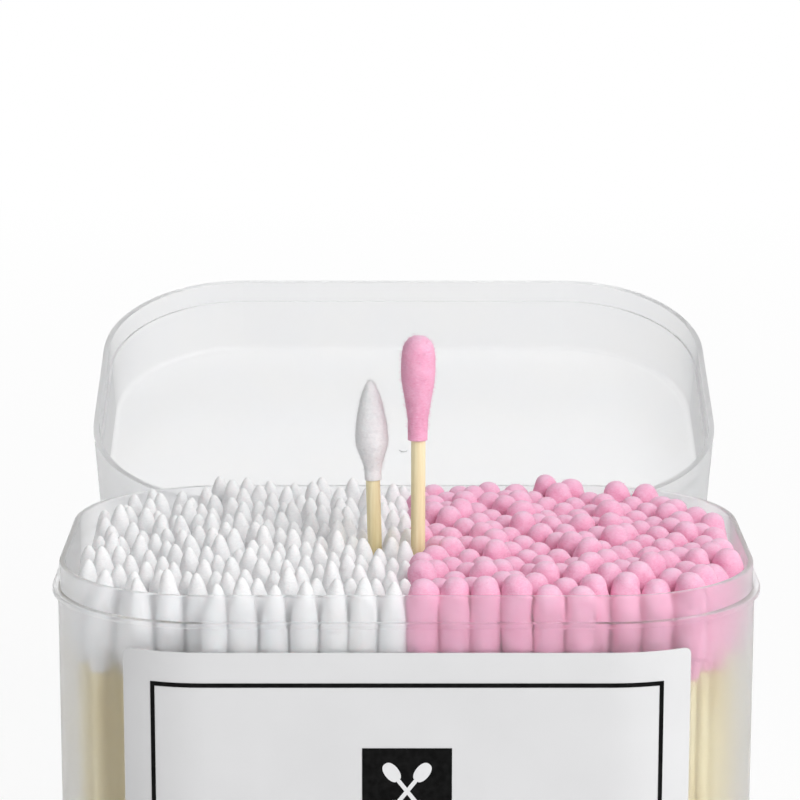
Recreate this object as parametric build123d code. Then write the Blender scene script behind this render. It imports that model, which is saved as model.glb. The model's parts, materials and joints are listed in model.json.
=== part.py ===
from build123d import *
import math
import os
import random

# A flip-lid box of cotton swabs, in millimetres. The origin is the centre of
# the box's underside, +Z is up, and the front, with the label, faces -Y.
# The lid stands open, leaning back behind the box.

# ---- Box: a thin-walled tub with a lip that the lid's skirt goes over ----
BOX_WIDTH = 115.0  # over the lip
BOX_DEPTH = 76.0  # over the lip
BOX_HEIGHT = 76.0
CORNER_RADIUS = 25.0  # of the lip, seen from above
LIP_HEIGHT = 4.2
LIP_THICKNESS = 1.0
WALL_STEP = 0.3  # the wall stands this far outside the lip
FLOOR_THICKNESS = 1.5
FLANGE_OVERHANG = 1.2  # beyond the lip
FLANGE_THICKNESS = 0.9
FLANGE_EDGE_RADIUS = 0.2
LIP_EDGE_RADIUS = 0.3
BASE_RADIUS = 2.0
FLOOR_RADIUS = 0.8

# ---- Lid: a shallow cap, flush with the flange when it is shut ----
LID_HEIGHT = 16.4
LID_DRAFT = 1.8  # degrees
LID_PLATE = 1.3
LID_EDGE_RADIUS = 1.4
CEILING_RADIUS = 1.0
LEDGE_WIDTH = 0.4  # the step inside the skirt that rests on the lip
SKIRT_CLEARANCE = 0.15  # between the skirt and the lip
SEAT_CLEARANCE = 0.1  # under the skirt, and over the lip
GATE_RADIUS = 0.8
GATE_HEIGHT = 0.3
LID_OPENING = 159.0  # degrees from shut

# ---- Living hinge: a round bead on the lid, cradled by a strip of the box ----
HINGE_WIDTH = 60.0
HINGE_SETBACK = 1.1  # axis behind the flange's edge
HINGE_BEAD_RADIUS = 0.4
HINGE_CLEARANCE = 0.06
HINGE_WEB = 0.5  # thickness of the lid's half
HINGE_STRIP = 0.8  # thickness of the box's half

# ---- Label: a paper sticker round the front and into both front corners ----
LABEL_WIDTH = 91.0  # straight across
LABEL_HEIGHT = 57.6
LABEL_BELOW_RIM = 9.2
LABEL_THICKNESS = 0.2
LABEL_CORNER_RADIUS = 1.2
LABEL_GAP = 0.02

# ---- Swabs: a wooden stick with a cotton bud wound on each end ----
SWAB_LENGTH = 75.0
STICK_RADIUS = 1.2
STICK_FIT = 0.03  # between the stick and the hole in its bud
WHITE_BUD_RADIUS = 2.3
WHITE_BUD_LENGTH = 17.0
WHITE_TIP_COVER = 5.0  # cotton beyond the stick's end
PINK_BUD_RADIUS = 2.45
PINK_BUD_LENGTH = 17.6
PINK_TIP_COVER = 3.0
FREE_BUD_GROWTH = 0.3  # cotton that nothing squeezes is this much fuller
BUD_EDGE = 0.25  # how far the cotton's end stands off the stick

# ---- How the swabs are packed: white on the left, pink on the right ----
BUD_GAP = 0.15  # between the buds of one row
ROW_SPARE = 0.2  # what rows keep beyond close packing
WALL_CLEARANCE = 0.1
FLOOR_CLEARANCE = 0.1
SHIFT_X = 0.05  # most that a swab's ends stray from their places
SHIFT_Y = 0.12
LIFT = 2.2  # most that a swab stands up from the floor
SEED = 11

# ---- The two swabs that stand pulled up ----
PINK_RAISED_NEAR = (2.0, -7.0)
PINK_RAISED_TOP = 36.1  # above the rim
PINK_RAISED_CLEARANCE = 0.87  # from its stick to the bud on its left
PINK_RAISED_LEAN = 0.0  # degrees, to the left
WHITE_RAISED_NEAR = (-5.0, -2.0)
WHITE_RAISED_TOP = 27.6
WHITE_RAISED_CLEARANCE = 0.7
WHITE_RAISED_LEAN = 1.6

# ---- Worked out from the sizes above ----
FLANGE_TOP = BOX_HEIGHT - LIP_HEIGHT
FLANGE_BOTTOM = FLANGE_TOP - FLANGE_THICKNESS
SKIRT_BOTTOM = FLANGE_TOP + SEAT_CLEARANCE
HINGE_Y = BOX_DEPTH / 2 + FLANGE_OVERHANG + HINGE_SETBACK
HINGE_Z = FLANGE_TOP
HINGE_AXIS = Axis((0, HINGE_Y, HINGE_Z), (1, 0, 0))
INNER_WIDTH = BOX_WIDTH - 2 * LIP_THICKNESS
INNER_DEPTH = BOX_DEPTH - 2 * LIP_THICKNESS
INNER_RADIUS = CORNER_RADIUS - LIP_THICKNESS
WHITE_PITCH = 2 * WHITE_BUD_RADIUS + BUD_GAP
PINK_PITCH = 2 * PINK_BUD_RADIUS + BUD_GAP
ROW_REACH = INNER_DEPTH / 2 - max(WHITE_BUD_RADIUS, PINK_BUD_RADIUS) - WALL_CLEARANCE
ROW_SPACING = max(WHITE_PITCH, PINK_PITCH) * math.sin(math.radians(60)) + ROW_SPARE
ROWS = int(2 * ROW_REACH / ROW_SPACING) + 1


def plan(offset, z):
    """The lip's outline seen from above, grown by offset, at height z."""
    width = BOX_WIDTH + 2 * offset
    depth = BOX_DEPTH + 2 * offset
    return Pos(0, 0, z) * RectangleRounded(width, depth, CORNER_RADIUS + offset)


def prism(offset, z_low, z_high):
    """A straight block on the plan's outline."""
    return extrude(plan(offset, z_low), z_high - z_low)


def hinge_rod(radius, length):
    """A round rod on the hinge's axis."""
    return Pos(0, HINGE_Y, HINGE_Z) * Rot(0, 90, 0) * Cylinder(radius, length)


def block(width, y_low, y_high, z_low, z_high):
    """A plain block, centred left to right."""
    centre = Pos(0, (y_low + y_high) / 2, (z_low + z_high) / 2)
    return centre * Box(width, y_high - y_low, z_high - z_low)


# ---------------------------------------------------------------- the box


def box_body():
    """The tub: wall, lip, flange and the box's half of the living hinge."""
    wall = prism(WALL_STEP, 0, FLANGE_BOTTOM)
    wall = fillet(wall.edges().group_by(Axis.Z)[0], BASE_RADIUS)
    flange = prism(FLANGE_OVERHANG, FLANGE_BOTTOM, FLANGE_TOP)
    flange = fillet(flange.edges().filter_by(Axis.Z, reverse=True), FLANGE_EDGE_RADIUS)
    lip = prism(0, FLANGE_TOP, BOX_HEIGHT)
    cavity = prism(-LIP_THICKNESS, FLOOR_THICKNESS, BOX_HEIGHT + 1)
    cavity = fillet(cavity.edges().group_by(Axis.Z)[0], FLOOR_RADIUS)
    body = wall + flange + lip + hinge_strip() - cavity
    return fillet(body.edges().group_by(Axis.Z)[-1], LIP_EDGE_RADIUS)


def hinge_strip():
    """The strip behind the flange that the lid's bead turns on."""
    flange_edge = HINGE_Y - HINGE_SETBACK
    top = HINGE_Z - HINGE_CLEARANCE
    strip = block(HINGE_WIDTH, flange_edge - 0.5, HINGE_Y, top - HINGE_STRIP, top)
    return strip - hinge_rod(HINGE_BEAD_RADIUS + HINGE_CLEARANCE, HINGE_WIDTH + 2)


# ---------------------------------------------------------------- the lid


def shut_lid():
    """The lid as it sits on the box: skirt, wall, plate and its hinge half."""
    shell = extrude(plan(FLANGE_OVERHANG, SKIRT_BOTTOM), LID_HEIGHT, taper=LID_DRAFT)
    shell = fillet(shell.edges().group_by(Axis.Z)[-1], LID_EDGE_RADIUS)
    ledge_z = BOX_HEIGHT + SEAT_CLEARANCE
    recess = prism(SKIRT_CLEARANCE, SKIRT_BOTTOM - 1, ledge_z)
    ceiling_z = SKIRT_BOTTOM + LID_HEIGHT - LID_PLATE
    mouth = plan(SKIRT_CLEARANCE - LEDGE_WIDTH, ledge_z - 0.5)
    hollow = extrude(mouth, ceiling_z - ledge_z + 0.5, taper=LID_DRAFT)
    hollow = fillet(hollow.edges().group_by(Axis.Z)[-1], CEILING_RADIUS)
    gate = Pos(0, 0, ceiling_z - GATE_HEIGHT / 2) * Cylinder(GATE_RADIUS, GATE_HEIGHT)
    return shell - recess - hollow + gate + hinge_web()


def hinge_web():
    """The web behind the skirt, with the round bead on the hinge's axis."""
    skirt_edge = HINGE_Y - HINGE_SETBACK
    low = SKIRT_BOTTOM
    web = block(HINGE_WIDTH, skirt_edge - 0.5, HINGE_Y, low, low + HINGE_WEB)
    return web + hinge_rod(HINGE_BEAD_RADIUS, HINGE_WIDTH)


def lid():
    """The lid, turned open about the hinge."""
    return shut_lid().rotate(HINGE_AXIS, -LID_OPENING)


# --------------------------------------------------------------- the label


def front_label():
    """A sticker that follows the front wall."""
    top = BOX_HEIGHT - LABEL_BELOW_RIM
    inside = WALL_STEP + LABEL_GAP
    skin = prism(inside + LABEL_THICKNESS, top - LABEL_HEIGHT - 1, top + 1)
    skin -= prism(inside, top - LABEL_HEIGHT - 2, top + 2)
    outline = RectangleRounded(LABEL_WIDTH, LABEL_HEIGHT, LABEL_CORNER_RADIUS)
    middle = (0, -BOX_DEPTH, top - LABEL_HEIGHT / 2)
    front = Plane(middle, x_dir=(1, 0, 0), z_dir=(0, -1, 0))
    return skin & extrude(front * outline, -BOX_DEPTH)


# --------------------------------------------------------------- the swabs


def turned(profile, stick_end):
    """A bud turned about Z from its outline, bored for the stick's end."""
    cotton = revolve(make_face(profile), Axis.Z)
    bottom = cotton.bounding_box().min.Z
    depth = stick_end - bottom
    bore = Pos(0, 0, bottom + depth / 2) * Cylinder(STICK_RADIUS + STICK_FIT, depth)
    return cotton - bore


def white_bud(radius):
    """A pointed bud. Its tip is at the origin and the stick goes down."""
    edge = STICK_RADIUS + BUD_EDGE
    widest = 0.55 * WHITE_BUD_LENGTH
    tip = 0.4
    foot = -WHITE_BUD_LENGTH
    outline = (
        ThreePointArc((0, 0), (0.7 * tip, -0.3 * tip), (tip, -tip))
        + ThreePointArc((tip, -tip), (0.7 * radius, -0.42 * widest), (radius, -widest))
        + ThreePointArc((radius, -widest), (0.93 * radius, 0.78 * foot), (edge, foot))
        + Polyline((edge, foot), (0, foot), (0, 0))
    )
    return turned(Plane.XZ * outline, -WHITE_TIP_COVER)


def pink_bud(radius):
    """A round-topped bud that narrows slowly. Its top is at the origin."""
    edge = STICK_RADIUS + BUD_EDGE
    dome = 1.15 * radius
    foot = -PINK_BUD_LENGTH
    outline = (
        ThreePointArc((0, 0), (0.74 * radius, -0.36 * radius), (radius, -dome))
        + ThreePointArc((radius, -dome), (0.91 * radius, 0.58 * foot), (edge, foot))
        + Polyline((edge, foot), (0, foot), (0, 0))
    )
    return turned(Plane.XZ * outline, -PINK_TIP_COVER)


BUD = {"white": white_bud, "pink": pink_bud}
BUD_RADIUS = {"white": WHITE_BUD_RADIUS, "pink": PINK_BUD_RADIUS}
TIP_COVER = {"white": WHITE_TIP_COVER, "pink": PINK_TIP_COVER}
PITCH = {"white": WHITE_PITCH, "pink": PINK_PITCH}
SIDE = {"white": -1, "pink": 1}


def stick(kind):
    """A plain round stick, standing with the swab's foot at the origin."""
    length = SWAB_LENGTH - 2 * TIP_COVER[kind]
    return Pos(0, 0, SWAB_LENGTH / 2) * Cylinder(STICK_RADIUS, length)


def top_bud(kind, growth=0.0):
    """The upper bud of a standing swab."""
    return Pos(0, 0, SWAB_LENGTH) * BUD[kind](BUD_RADIUS[kind] + growth)


def lower_bud(kind):
    """The lower bud of a standing swab."""
    return Rot(180, 0, 0) * BUD[kind](BUD_RADIUS[kind])


def row_y(row):
    """Where a row of swabs stands, front row first."""
    return -ROW_REACH + 2 * ROW_REACH * row / (ROWS - 1)


def row_reach(y, radius):
    """How far left or right of the middle a swab fits at y."""
    margin = radius + WALL_CLEARANCE
    corner_y = INNER_DEPTH / 2 - INNER_RADIUS
    corner_x = INNER_WIDTH / 2 - INNER_RADIUS
    radius_left = INNER_RADIUS - margin
    into = max(abs(y) - corner_y, 0.0)
    return corner_x + math.sqrt(max(radius_left**2 - into**2, 0.0))


def places(kind, row):
    """The places of one kind's swabs in one row: (x, y) pairs.

    Every second row starts half a pitch further out, and its middle place
    is white.
    """
    pitch = PITCH[kind]
    radius = BUD_RADIUS[kind]
    y = row_y(row)
    limit = row_reach(abs(y) + SHIFT_Y, radius) - SHIFT_X
    first = pitch / 2 if row % 2 == 0 else (0.0 if kind == "white" else pitch)
    count = int((limit - first) // pitch) + 1
    return [(SIDE[kind] * (first + i * pitch), y) for i in range(count)]


def nearest(kind, point):
    """The place of this kind that is nearest to point."""
    everywhere = [p for row in range(ROWS) for p in places(kind, row)]
    return min(everywhere, key=lambda p: math.dist(p, point))


def standing(x, y, chance):
    """Where one packed swab stands: a small stray at each end, and a lift."""
    ends = []
    for _ in range(2):
        stray_x = chance.uniform(-SHIFT_X, SHIFT_X)
        stray_y = chance.uniform(-SHIFT_Y, SHIFT_Y)
        ends.append(Vector(x + stray_x, y + stray_y))
    foot, head = ends
    lean = head - foot
    tilt_x = -math.degrees(math.atan2(lean.Y, SWAB_LENGTH))
    tilt_y = math.degrees(math.atan2(lean.X, SWAB_LENGTH))
    z = FLOOR_THICKNESS + FLOOR_CLEARANCE + LIFT * chance.random() ** 1.5
    return Location((foot.X, foot.Y, z), (tilt_x, tilt_y, 0))


EMPTY = {"white": nearest("white", WHITE_RAISED_NEAR), "pink": nearest("pink", PINK_RAISED_NEAR)}


def left_edge(kind):
    """The right-hand side of the bud left of this kind's empty place."""
    x, y = EMPTY[kind]
    edges = []
    for other in BUD:
        row = [p for n in range(ROWS) for p in places(other, n) if p[1] == y and p[0] < x]
        edges += [p[0] + BUD_RADIUS[other] for p in row]
    return max(edges)


def raised(kind, clearance, top, lean):
    """Where a pulled-up swab stands, leaning about its place at the rim."""
    x = left_edge(kind) + clearance + STICK_RADIUS
    rim = Location((x, EMPTY[kind][1], BOX_HEIGHT), (0, -lean, 0))
    return rim * Location((0, 0, top - SWAB_LENGTH))


def swab_rows():
    """The packed swabs: {node name: its solids}."""
    chance = random.Random(SEED)
    shapes = {kind: (stick(kind), top_bud(kind), lower_bud(kind)) for kind in BUD}
    rows = {}
    for row in range(ROWS):
        sticks = rows.setdefault(f"sticks_row_{row + 1:02d}", [])
        for kind, (wood, upper, lower) in shapes.items():
            buds = rows.setdefault(f"{kind}_buds_row_{row + 1:02d}", [])
            for place in places(kind, row):
                if place == EMPTY[kind]:
                    continue
                where = standing(*place, chance)
                sticks.append(where * wood)
                buds += [where * upper, where * lower]
    return rows


def raised_swabs():
    """The two pulled-up swabs, each in three pieces."""
    stands = {
        "white": raised("white", WHITE_RAISED_CLEARANCE, WHITE_RAISED_TOP, WHITE_RAISED_LEAN),
        "pink": raised("pink", PINK_RAISED_CLEARANCE, PINK_RAISED_TOP, PINK_RAISED_LEAN),
    }
    pieces = {}
    for kind, where in stands.items():
        pieces[f"raised_{kind}_stick"] = [where * stick(kind)]
        pieces[f"raised_{kind}_top_bud"] = [where * top_bud(kind, FREE_BUD_GROWTH)]
        pieces[f"raised_{kind}_lower_bud"] = [where * lower_bud(kind)]
    return pieces


# ------------------------------------------------------------------ output


def write(name, solids):
    """One STEP file for one named sub-part."""
    shape = solids[0] if len(solids) == 1 else Compound(children=list(solids))
    shape.label = name
    export_step(shape, f"parts/{name}.step")


os.makedirs("parts", exist_ok=True)
nodes = {"box_body": [box_body()], "lid": [lid()], "front_label": [front_label()]}
nodes.update(raised_swabs())
nodes.update(swab_rows())
for name, solids in nodes.items():
    write(name, solids)
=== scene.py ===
import json
import math

import bpy
import numpy as np
from mathutils import Euler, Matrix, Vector


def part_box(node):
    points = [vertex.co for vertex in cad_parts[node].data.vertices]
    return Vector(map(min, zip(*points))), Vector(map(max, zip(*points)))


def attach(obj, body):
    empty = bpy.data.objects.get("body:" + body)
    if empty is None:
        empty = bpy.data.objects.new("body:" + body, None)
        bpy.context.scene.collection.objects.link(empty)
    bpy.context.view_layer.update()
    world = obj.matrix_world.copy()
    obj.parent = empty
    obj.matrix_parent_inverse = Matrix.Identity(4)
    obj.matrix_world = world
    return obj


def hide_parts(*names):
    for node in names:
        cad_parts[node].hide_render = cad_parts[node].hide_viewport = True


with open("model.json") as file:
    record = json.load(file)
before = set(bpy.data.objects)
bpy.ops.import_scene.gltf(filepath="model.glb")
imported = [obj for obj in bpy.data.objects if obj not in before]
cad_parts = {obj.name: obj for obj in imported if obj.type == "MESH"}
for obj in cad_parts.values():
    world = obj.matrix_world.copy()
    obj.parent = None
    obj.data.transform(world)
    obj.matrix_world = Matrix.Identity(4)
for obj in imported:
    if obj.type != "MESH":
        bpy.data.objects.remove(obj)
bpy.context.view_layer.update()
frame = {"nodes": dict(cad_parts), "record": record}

# ---------------------------------------------------------------- sizes, in metres

MM = 0.001
NODES = frame["nodes"]
BOX_LOW, BOX_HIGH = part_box("box_body")
LABEL_LOW, LABEL_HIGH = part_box("front_label")
RIM = Vector((0, 0, BOX_HIGH[2]))

LABEL_RADIUS = 25.5 * MM  # how the label curves into the front corners
LABEL_FLAT = 32.5 * MM  # half the flat part of the front wall
FRAME_INSET_X = 4.95 * MM  # printed frame, in from the label's ends
FRAME_INSET_Z = 5.0 * MM
FRAME_LINE = 0.72 * MM
PANEL_SIZE = 14.4 * MM  # printed square
PANEL_BELOW = 15.8 * MM  # its top, under the label's top
INK = 0.03 * MM
PICTOGRAM_SWAB = (11.6 * MM, 0.34 * MM, 1.15 * MM, 3.6 * MM)  # length, half stick, half head, head length

BUD_SHAPES = {
    "white": {"radius": 2.36 * MM, "length": 17.0 * MM, "neck": 1.38 * MM},
    "pink": {"radius": 2.54 * MM, "length": 17.6 * MM, "neck": 1.45 * MM},
}
SWAB_SPACING = 3.4 * MM  # points of a row nearer than this belong to one swab
PACKED_LEAN = {"white": 1.0 * MM, "pink": 0.55 * MM}  # most that a packed bud's end strays
PACKED_LUMPS = {"white": 0.06, "pink": 0.085}
FREE_RADIUS = {"white": 2.75 * MM, "pink": 2.82 * MM}  # of a pulled-up swab's upper bud
FREE_LUMPS = 0.014
FUZZ_LENGTH = 0.8 * MM
FUZZ_WIDTH = 0.022 * MM

rng = np.random.default_rng(5)


# ---------------------------------------------------------------- materials


class Shader:
    """A node material, built a node at a time."""

    def __init__(self, name):
        self.material = bpy.data.materials.new(name)
        self.material.use_nodes = True
        self.tree = self.material.node_tree
        self.surface = self.tree.nodes["Principled BSDF"]
        self.output = self.tree.nodes["Material Output"]

    def node(self, kind, inputs=None, **settings):
        made = self.tree.nodes.new("ShaderNode" + kind)
        for name, value in settings.items():
            setattr(made, name, value)
        for name, value in (inputs or {}).items():
            self.put(made.inputs[name], value)
        return made

    def put(self, socket, value):
        if isinstance(value, bpy.types.NodeSocket):
            self.tree.links.new(value, socket)
        else:
            socket.default_value = value

    def set(self, **values):
        for name, value in values.items():
            self.put(self.surface.inputs[name.replace("_", " ")], value)

    def place(self, scale):
        """Object coordinates, stretched by scale."""
        coords = self.node("TexCoord")
        return self.node("Mapping", {"Vector": coords.outputs["Object"], "Scale": scale}).outputs["Vector"]

    def noise(self, scale, stretch=(1, 1, 1), detail=4.0, rough=0.55, distortion=0.0):
        inputs = {
            "Vector": self.place(stretch),
            "Scale": scale,
            "Detail": detail,
            "Roughness": rough,
            "Distortion": distortion,
        }
        return self.node("TexNoise", inputs).outputs["Fac"]

    def ramp(self, factor, stops):
        ramp = self.node("ValToRGB", {"Fac": factor})
        elements = ramp.color_ramp.elements
        while len(elements) < len(stops):
            elements.new(0.5)
        for element, (place, colour) in zip(elements, stops):
            element.position = place
            element.color = (*colour, 1)
        return ramp.outputs["Color"]

    def mean(self, first, second):
        """Half one value and half another."""
        total = self.node("Math", {0: first, 1: second}, operation="ADD").outputs[0]
        return self.node("Math", {0: total, 1: 0.5}, operation="MULTIPLY").outputs[0]

    def bump(self, height, strength, distance, normal=None):
        inputs = {"Height": height, "Strength": strength, "Distance": distance}
        if normal is not None:
            inputs["Normal"] = normal
        return self.node("Bump", inputs).outputs["Normal"]


def srgb(red, green, blue):
    """A colour from its 0-255 display values."""
    return tuple(((c / 255 + 0.055) / 1.055) ** 2.4 if c > 10 else c / 255 / 12.92 for c in (red, green, blue))


def cotton(name, light, dark, painted_top_light, sheen):
    """Wound cotton: matt, wrapped round the swab, with painted light: what faces up is mixed toward a paler colour."""
    shader = Shader(name)
    tone = shader.noise(380, detail=6, rough=0.65)
    fibres = shader.noise(1900, stretch=(1, 1, 2.6), detail=6, rough=0.7, distortion=0.8)
    wraps = shader.noise(520, stretch=(0.5, 0.5, 1.7), detail=3, rough=0.6)
    soft = shader.bump(wraps, 0.5, 0.35 * MM)
    speckle = shader.node("MapRange", {"Value": fibres, "From Min": 0.3, "From Max": 0.7}).outputs["Result"]
    wound = shader.ramp(shader.mean(tone, speckle), [(0.25, dark), (0.75, light)])
    # painted light: the more a surface faces up, the more its colour is mixed toward the paler third colour, standing
    # in for the overhead light on the tops
    normal = shader.node("NewGeometry").outputs["Normal"]
    up = shader.node("SeparateXYZ", {"Vector": normal}).outputs["Z"]
    painted_light_by_facing = shader.node("MapRange", {"Value": up, "From Min": 0.15, "From Max": 0.95, "To Max": 0.8}).outputs["Result"]
    painted_top_light_mask = shader.node("Math", {0: painted_light_by_facing, 1: tone}, operation="MULTIPLY").outputs[0]
    painted_top_light_mask = shader.node("Math", {0: painted_top_light_mask, 1: 1.5}, operation="MULTIPLY", use_clamp=True).outputs[0]
    colour = shader.node("MixRGB", {"Fac": painted_top_light_mask, "Color1": wound, "Color2": (*painted_top_light, 1)}).outputs["Color"]
    shader.set(
        Base_Color=colour,
        Roughness=0.95,
        Normal=shader.bump(fibres, 0.65, 0.15 * MM, soft),
        Sheen_Weight=sheen,
        Sheen_Roughness=0.5,
        Subsurface_Weight=0.12,
        Subsurface_Radius=(0.8 * MM, 0.5 * MM, 0.5 * MM),
        Subsurface_Scale=1.0,
        Specular_IOR_Level=0.12,
    )
    return shader.material


def bare_wood():
    """Pale stick wood with long fibres."""
    shader = Shader("bare_wood")
    grain = shader.noise(900, stretch=(1, 1, 0.035), detail=6, rough=0.65)
    cloud = shader.noise(120, stretch=(1, 1, 0.3), detail=2)
    light = srgb(250, 239, 198)
    dark = srgb(216, 194, 138)
    shader.set(
        Base_Color=shader.ramp(shader.mean(grain, cloud), [(0.36, dark), (0.58, light)]),
        Roughness=0.6,
        Normal=shader.bump(grain, 0.5, 0.12 * MM),
        Specular_IOR_Level=0.3,
    )
    return shader.material


def frosted_plastic(name, tint, clear):
    """Milky, see-through polypropylene. What touches it shows clearly and what stands back blurs."""
    shader = Shader(name)
    haze = shader.noise(90, detail=2)
    skin = shader.noise(1500, detail=3)
    rough = shader.node("MapRange", {"Value": haze, "To Min": 0.28, "To Max": 0.34}).outputs["Result"]
    shader.set(
        Base_Color=shader.ramp(haze, [(0.3, (tint - 0.02, tint - 0.015, tint - 0.005)), (0.7, (tint, tint, tint))]),
        Roughness=rough,
        Normal=shader.bump(skin, 0.03, 0.02 * MM),
        Transmission_Weight=clear,
        IOR=1.3,
        Specular_IOR_Level=0.5,
    )
    return shader.material


def paper():
    """Smooth white label stock."""
    shader = Shader("label_paper")
    fibres = shader.noise(1800, detail=5, rough=0.6)
    cloud = shader.noise(60, detail=2)
    shader.set(
        Base_Color=shader.ramp(cloud, [(0.3, srgb(217, 217, 218)), (0.7, srgb(221, 221, 222))]),
        Roughness=0.5,
        Normal=shader.bump(fibres, 0.08, 0.03 * MM),
        Specular_IOR_Level=0.35,
    )
    return shader.material


def ink(name, colour):
    """Printing on the label, a little uneven."""
    shader = Shader(name)
    mottle = shader.noise(900, detail=3)
    lifted = tuple(min(c + 0.006, 1) for c in colour)
    shader.set(
        Base_Color=shader.ramp(mottle, [(0.35, colour), (0.7, lifted)]),
        Roughness=0.8,
        Specular_IOR_Level=0.05,
    )
    return shader.material


MATERIALS = {
    "frosted_plastic": frosted_plastic("frosted_plastic", 0.995, 0.96),
    "label_paper": paper(),
    "bare_wood": bare_wood(),
    # the third colour of each cotton is painted light, mixed onto the surfaces that face up
    "cotton_white": cotton("cotton_white", srgb(253, 253, 253), srgb(238, 238, 240), srgb(254, 254, 254), 0.12),
    "cotton_pink": cotton("cotton_pink", srgb(252, 196, 221), srgb(241, 158, 193), srgb(244, 208, 229), 0.15),
}
LID_PLASTIC = frosted_plastic("frosted_lid_plastic", 0.93, 0.9)  # the lid is a shade cloudier
BLACK_INK = ink("black_ink", (0.004, 0.004, 0.004))
WHITE_INK = ink("white_ink", srgb(228, 228, 229))

for part in frame["record"]["subparts"]:
    carried = NODES[part["node"]]
    carried.data.materials.clear()
    carried.data.materials.append(MATERIALS[part["material_slot"]])
NODES["lid"].data.materials[0] = LID_PLASTIC


# ---------------------------------------------------------------- meshes


def make_object(name, vertices, faces, material, smooth=True):
    """A mesh object from its vertices and faces."""
    mesh = bpy.data.meshes.new(name)
    mesh.from_pydata([tuple(v) for v in vertices], [], [tuple(f) for f in faces])
    mesh.validate()
    for polygon in mesh.polygons:
        polygon.use_smooth = smooth
    mesh.materials.append(material)
    made = bpy.data.objects.new(name, mesh)
    bpy.context.collection.objects.link(made)
    return made


def tube_faces(rings, around):
    """Faces of a closed tube of rings, with a point at each end."""
    faces = []
    first, last = 0, 1 + rings * around
    for i in range(around):
        j = (i + 1) % around
        faces.append((first, 1 + i, 1 + j))
        for k in range(rings - 1):
            a = 1 + k * around
            faces.append((a + i, a + around + i, a + around + j, a + j))
        end = 1 + (rings - 1) * around
        faces.append((end + i, last, end + j))
    return np.array(faces, dtype=object)


# ---------------------------------------------------------------- cotton buds


def smooth_step(s, start, end):
    """0 before start, 1 after end, and a smooth rise between."""
    t = np.clip((s - start) / (end - start), 0, 1)
    return t * t * (3 - 2 * t)


def white_profile(s, packed):
    """Radius of a pointed bud, as a share of its widest, s of the way down. A packed one stays
    full for longer, because its neighbours hold it up."""
    tip = np.clip(s / 0.56, 0, 1)
    rise = (1 - (1 - tip) ** 1.5) ** (0.5 if packed else 0.58)
    waist = smooth_step(s, 0.74, 1.0) if packed else smooth_step(s, 0.6, 0.92)
    return rise * (1 - 0.48 * waist)


def pink_profile(s, packed):
    """Radius of a round-topped bud, as a share of its widest, s of the way down."""
    dome = np.clip(s / 0.24, 0, 1)
    rise = (1 - (1 - dome) ** 2.4) ** (1 / 2.4)
    waist = smooth_step(s, 0.66, 1.0) if packed else smooth_step(s, 0.32, 0.88)
    return rise * (1 - 0.42 * waist)


PROFILES = {"white": white_profile, "pink": pink_profile}


def ring_steps(rings):
    """Where a bud's rings lie, much closer together near the tip."""
    t = np.linspace(0, 1, rings + 1)[1:]
    return t**2 * (2 - t)


def bud_vertices(tip, down, shape, radius, rings, around, lean, lumps):
    """One bud: tip is its end, down points along the stick, into the swab, and radius is one for
    each ring."""
    s = ring_steps(rings)
    radius = np.maximum(radius, shape["neck"] * np.clip((s - 0.5) / 0.4, 0, 1))
    angle = np.linspace(0, 2 * math.pi, around, endpoint=False)
    turn = rng.uniform(0, 2 * math.pi, 6)
    oval = 1 + rng.uniform(0.0, lumps) * np.cos(2 * (angle + turn[0]))
    wave = np.zeros((rings, around))
    for n, (waves, wind) in enumerate(((1, 9), (2, -14), (3, 23), (4, 31))):
        wave += np.sin(waves * angle[None, :] + wind * s[:, None] + turn[n + 1]) / (1.4 + 0.5 * n)
    fade = np.clip(s / 0.12, 0.3, 1) * (1 - 0.7 * smooth_step(s, 0.25, 0.5))
    spread = radius[:, None] * oval[None, :] * (1 + lumps * wave * fade[:, None])
    drift = rng.uniform(0, 2 * math.pi)
    bend = lean * (1 - s) ** 1.6
    x = spread * np.cos(angle)[None, :] + (bend * math.cos(drift))[:, None]
    y = spread * np.sin(angle)[None, :] + (bend * math.sin(drift))[:, None]
    z = np.repeat((s * shape["length"])[:, None], around, axis=1)
    ring_points = np.stack([x, y, z], axis=2).reshape(-1, 3)
    start = np.array([[lean * math.cos(drift), lean * math.sin(drift), 0.0]])
    end = np.array([[0.0, 0.0, shape["length"]]])
    local = np.concatenate([start, ring_points, end])
    along = Vector(down).normalized()
    side = along.orthogonal().normalized()
    third = along.cross(side)
    return np.array(tip) + local @ np.array([side, third, along])


def fuzz(skin, rings, around, count, reach):
    """Loose fibres standing off a bud, as fine spikes. skin holds the bud's vertices, and reach
    is how far down the bud they go, as a share of its length."""
    steps = ring_steps(rings)
    vertices, faces = [], []
    axis = skin[-1] - skin[0]
    axis = axis / np.linalg.norm(axis)
    for _ in range(count):
        down = rng.uniform(0, reach)
        ring = int(np.searchsorted(steps, down))
        root = skin[1 + ring * around + int(rng.integers(around))]
        out = root - skin[0] - axis * np.dot(root - skin[0], axis)
        out = out / max(np.linalg.norm(out), 1e-9) - axis * (1.2 if down < 0.1 else 0.1)
        out = out + rng.normal(0, 0.55, 3)
        out = out / np.linalg.norm(out)
        side = np.cross(out, rng.normal(0, 1, 3))
        side = side / np.linalg.norm(side) * FUZZ_WIDTH
        third = np.cross(out, side)
        length = FUZZ_LENGTH * rng.uniform(0.35, 1.0)
        low = root - out * 0.1 * MM
        first = len(vertices)
        vertices += [low + side, low - 0.5 * side + third, low - 0.5 * side - third, root + out * length]
        faces += [(first, first + 2, first + 1), (first, first + 1, first + 3)]
        faces += [(first + 1, first + 2, first + 3), (first + 2, first, first + 3)]
    return np.array(vertices), faces


def node_points(name):
    """A CAD node's vertices."""
    mesh = NODES[name].data
    points = np.empty(len(mesh.vertices) * 3)
    mesh.vertices.foreach_get("co", points)
    return points.reshape(-1, 3)


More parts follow.
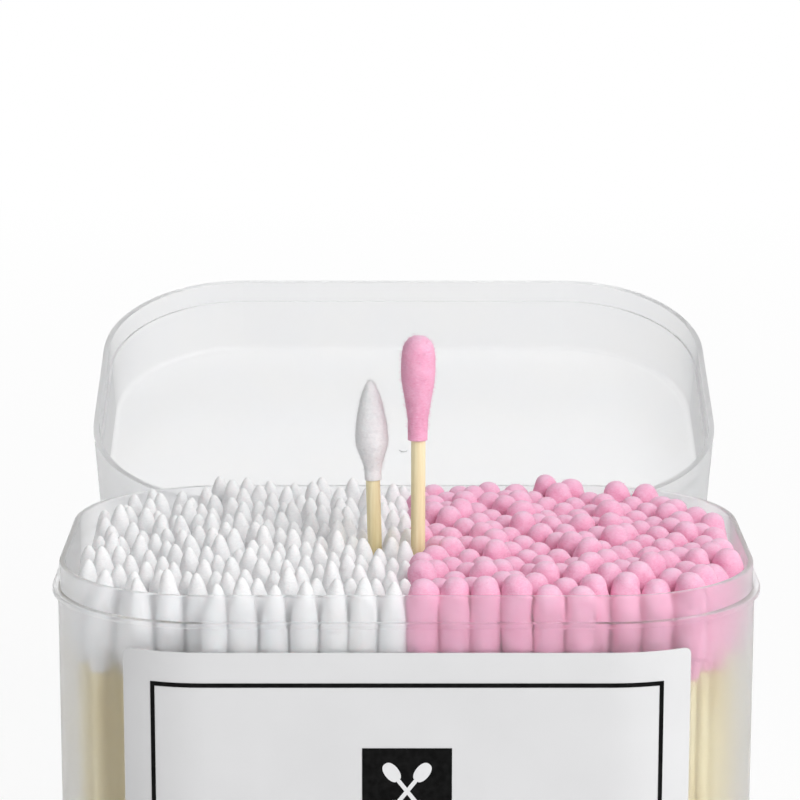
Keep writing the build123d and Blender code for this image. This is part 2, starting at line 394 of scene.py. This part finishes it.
def bud_tips(points, upper):
    """The end of each bud in a row, found from the highest, or lowest, points."""
    middle = (points[:, 2].max() + points[:, 2].min()) / 2
    sign = 1 if upper else -1
    left = points[sign * (points[:, 2] - middle) > 0]
    tips = []
    while len(left):
        tip = left[(sign * left[:, 2]).argmax()]
        tips.append(tip)
        left = left[np.hypot(left[:, 0] - tip[0], left[:, 1] - tip[1]) > SWAB_SPACING]
    return tips


def cotton_piece(name, parts, kind):
    """A piece of wound cotton in place of a CAD node, made of (vertices, faces) parts."""
    vertices, faces, count = [], [], 0
    for more, more_faces in parts:
        vertices.append(more)
        faces += [tuple(i + count for i in f) for f in more_faces]
        count += len(more)
    piece = make_object(name + "_wound", np.concatenate(vertices), faces, MATERIALS["cotton_" + kind])
    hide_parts(name)
    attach(piece, "box")


def row_of_buds(name, kind):
    """The upper and lower buds of one packed row, in one piece."""
    points = node_points(name)
    upper = bud_tips(points, True)
    lower = bud_tips(points, False)
    shape = BUD_SHAPES[kind]
    parts = []
    for tip in upper:
        foot = min(lower, key=lambda p: math.dist(p[:2], tip[:2]))
        axis = np.array(foot) - np.array(tip)
        lean = rng.uniform(0.1, 1.0) * PACKED_LEAN[kind]
        for end, down, rings, around, tilt in ((tip, axis, 26, 28, lean), (foot, -axis, 12, 14, 0.0)):
            radius = PROFILES[kind](ring_steps(rings), True) * shape["radius"]
            made = bud_vertices(end, down, shape, radius, rings, around, tilt, PACKED_LUMPS[kind])
            parts.append((made, tube_faces(rings, around)))
            if end is tip:
                parts.append(fuzz(made, rings, around, 70, 0.35))
    cotton_piece(name, parts, kind)


def raised_bud(name, kind, upper):
    """A bud of a pulled-up swab, made finely. The upper one is full, and the lower one is still packed in."""
    points = node_points(name)
    tip = points[(points[:, 2] if upper else -points[:, 2]).argmax()]
    along = points.mean(axis=0) - tip
    shape = BUD_SHAPES[kind]
    rings, around = 90, 80
    widest = FREE_RADIUS[kind] if upper else shape["radius"]
    radius = PROFILES[kind](ring_steps(rings), not upper) * widest
    made = bud_vertices(tip, along, shape, radius, rings, around, 0.0, FREE_LUMPS)
    parts = [(made, tube_faces(rings, around))]
    if upper:
        parts.append(fuzz(made, rings, around, 1600, 0.9))
    cotton_piece(name, parts, kind)


for node_name in sorted(NODES):
    if node_name.startswith(("white_buds_row", "pink_buds_row")):
        row_of_buds(node_name, node_name.split("_")[0])

for kind in ("white", "pink"):
    raised_bud(f"raised_{kind}_top_bud", kind, True)
    raised_bud(f"raised_{kind}_lower_bud", kind, False)


# ---------------------------------------------------------------- print on the label


def on_label(s, z, out):
    """A point on the label: s along it from the middle, z up, out from its face."""
    front = LABEL_LOW[1]
    if abs(s) <= LABEL_FLAT:
        return (s, front - out, z)
    angle = (abs(s) - LABEL_FLAT) / LABEL_RADIUS
    x = LABEL_FLAT + (LABEL_RADIUS + out) * math.sin(angle)
    y = front + LABEL_RADIUS - (LABEL_RADIUS + out) * math.cos(angle)
    return (math.copysign(x, s), y, z)


def printed_plate(outline_low, outline_high, across, level):
    """Vertices and faces of a thin curved plate printed on the label."""
    low_s, low_z = outline_low
    high_s, high_z = outline_high
    vertices, faces = [], []
    for i in range(across + 1):
        s = low_s + (high_s - low_s) * i / across
        for out in (level * INK + 0.005 * MM, level * INK + 0.005 * MM + INK):
            vertices += [on_label(s, low_z, out), on_label(s, high_z, out)]
    for i in range(across):
        a, b = 4 * i, 4 * i + 4
        faces += [(a + 2, b + 2, b + 3, a + 3), (a, a + 1, b + 1, b), (a + 1, a + 3, b + 3, b + 1), (a, b, b + 2, a + 2)]
    end = 4 * across
    faces += [(0, 2, 3, 1), (end, end + 1, end + 3, end + 2)]
    return vertices, faces


def printed(name, plates, material, level=1):
    """One printed piece made of several plates."""
    vertices, faces = [], []
    for low, high, across in plates:
        more, more_faces = printed_plate(low, high, across, level)
        faces += [tuple(i + len(vertices) for i in f) for f in more_faces]
        vertices += more
    piece = make_object(name, vertices, faces, material, smooth=False)
    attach(piece, "box")
    return piece


def label_end():
    """How far the label reaches along its curve, from the middle."""
    x = LABEL_HIGH[0]
    return LABEL_FLAT + LABEL_RADIUS * math.asin((x - LABEL_FLAT) / LABEL_RADIUS)


frame_s = label_end() - FRAME_INSET_X
frame_top = LABEL_HIGH[2] - FRAME_INSET_Z
frame_foot = LABEL_LOW[2] + FRAME_INSET_Z
printed(
    "printed_frame",
    [
        ((-frame_s, frame_top - FRAME_LINE), (frame_s, frame_top), 60),
        ((-frame_s, frame_foot), (frame_s, frame_foot + FRAME_LINE), 60),
        ((-frame_s, frame_foot + FRAME_LINE), (-frame_s + FRAME_LINE, frame_top - FRAME_LINE), 2),
        ((frame_s - FRAME_LINE, frame_foot + FRAME_LINE), (frame_s, frame_top - FRAME_LINE), 2),
    ],
    BLACK_INK,
)
panel_top = LABEL_HIGH[2] - PANEL_BELOW
half = PANEL_SIZE / 2
printed("printed_panel", [((-half, panel_top - PANEL_SIZE), (half, panel_top), 4)], BLACK_INK)


def swab_outline(length, stick, head, head_length):
    """The flat outline of a swab lying along its own axis: a stick with a rounded head at each end."""
    right = []
    for i in range(17):
        t = math.pi * (i / 16)
        right.append((head * math.sin(t) ** 0.8 if 0 < i < 16 else 0.0, length / 2 - head_length * (1 - math.cos(t)) / 2))
    right = [p for p in right if p[0] > stick or p[1] > length / 2 - head_length / 2]
    right.append((stick, right[-1][1]))
    upper = right + [(x, -z) for x, z in reversed(right)]
    return upper + [(-x, z) for x, z in reversed(upper) if x > 0]


def pictogram(name, tilt, level):
    """A generic white swab printed on the dark square, tilted from upright, in degrees."""
    centre = panel_top - half
    turn = math.radians(tilt)
    outline = swab_outline(*PICTOGRAM_SWAB)
    vertices = []
    for out in (level * INK, level * INK + INK):
        for s, z in outline:
            x = s * math.cos(turn) - z * math.sin(turn)
            vertices.append((x, LABEL_LOW[1] - out - 0.01 * MM, centre + s * math.sin(turn) + z * math.cos(turn)))
    count = len(outline)
    faces = [tuple(range(count)), tuple(range(2 * count - 1, count - 1, -1))]
    faces += [(i, count + i, count + (i + 1) % count, (i + 1) % count) for i in range(count)]
    piece = make_object(name, vertices, faces, WHITE_INK, smooth=False)
    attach(piece, "box")


pictogram("printed_swab_left", 38, 2)
pictogram("printed_swab_right", -38, 3)


# ---------------------------------------------------------------- floor, light and camera

FLOOR_REACH = 6.0


def floor():
    """A wide pale floor that keeps the shadow near the object and fades into a white distance."""
    corners = [(-FLOOR_REACH, -FLOOR_REACH, 0), (FLOOR_REACH, -FLOOR_REACH, 0)]
    corners += [(FLOOR_REACH, FLOOR_REACH, 0), (-FLOOR_REACH, FLOOR_REACH, 0)]
    shader = Shader("floor")
    distance = shader.node("VectorMath", {0: shader.place((1, 1, 1))}, operation="LENGTH").outputs["Value"]
    limits = {"Value": distance, "From Min": 0.2, "From Max": 0.9, "To Min": 0.9, "To Max": 1.0}
    white = shader.node("MapRange", limits).outputs["Result"]
    path = shader.node("LightPath").outputs
    seen = shader.node("Math", {0: path["Is Camera Ray"], 1: path["Is Glossy Ray"]}, operation="MAXIMUM").outputs[0]
    seen = shader.node("Math", {0: seen, 1: path["Is Transmission Ray"]}, operation="MAXIMUM").outputs[0]
    lift = shader.node("Math", {0: seen, 1: white}, operation="MULTIPLY").outputs[0]
    glow = shader.node("Emission", {"Color": (1, 1, 1, 1), "Strength": 1.0}).outputs[0]
    shader.set(Base_Color=(0.86, 0.86, 0.86, 1), Roughness=0.9, Specular_IOR_Level=0.1)
    mixed = shader.node("MixShader", {0: lift, 1: shader.surface.outputs[0], 2: glow}).outputs[0]
    shader.put(shader.output.inputs["Surface"], mixed)
    made = make_object("floor", corners, [(0, 1, 2, 3)], shader.material, smooth=False)


def sky(strength):
    """Even white light from all round, and plain white where it is seen or mirrored."""
    world = bpy.data.worlds.new("sky")
    bpy.context.scene.world = world
    world.use_nodes = True
    tree = world.node_tree
    background = tree.nodes["Background"]
    path = tree.nodes.new("ShaderNodeLightPath").outputs
    seen = path["Is Camera Ray"]
    for ray in ("Is Glossy Ray", "Is Transmission Ray"):
        either = tree.nodes.new("ShaderNodeMath")
        either.operation = "MAXIMUM"
        tree.links.new(seen, either.inputs[0])
        tree.links.new(path[ray], either.inputs[1])
        seen = either.outputs[0]
    level = tree.nodes.new("ShaderNodeMix")
    level.inputs["A"].default_value = strength
    level.inputs["B"].default_value = 1.0
    tree.links.new(seen, level.inputs["Factor"])
    tree.links.new(level.outputs["Result"], background.inputs["Strength"])
    background.inputs["Color"].default_value = (1, 1, 1, 1)


def lamp(name, place, target, size, watts):
    """A square soft lamp aimed at a point."""
    light = bpy.data.lights.new(name, "AREA")
    light.shape = "SQUARE"
    light.size = size
    light.energy = watts
    made = bpy.data.objects.new(name, light)
    made.location = place
    made.rotation_euler = (Vector(target) - Vector(place)).to_track_quat("-Z", "Y").to_euler()
    bpy.context.collection.objects.link(made)


def camera():
    """The photograph's viewpoint."""
    lens = bpy.data.cameras.new("camera")
    lens.sensor_width = 36
    lens.lens = 146.25
    made = bpy.data.objects.new("camera", lens)
    made.location = RIM + Vector((-3.39, -535.46, 137.38)) * MM
    down, right, roll = 11.98, 0.252, 0.07
    made.rotation_euler = Euler((math.radians(90 - down), 0, math.radians(-right)), "XYZ")
    made.rotation_euler.rotate_axis("Z", math.radians(roll))
    lens.clip_start = 0.01
    bpy.context.collection.objects.link(made)
    bpy.context.scene.camera = made


floor()
sky(0.42)
target = (0, 0, 0.07)
lamp("key", (0.6, -0.5, 0.8), target, 0.5, 5.4)
lamp("front", (0.45, -0.9, 0.35), target, 0.7, 3.2)
lamp("back", (0.1, 0.9, 0.8), target, 0.7, 2)
camera()
bpy.context.scene.view_settings.view_transform = "Standard"
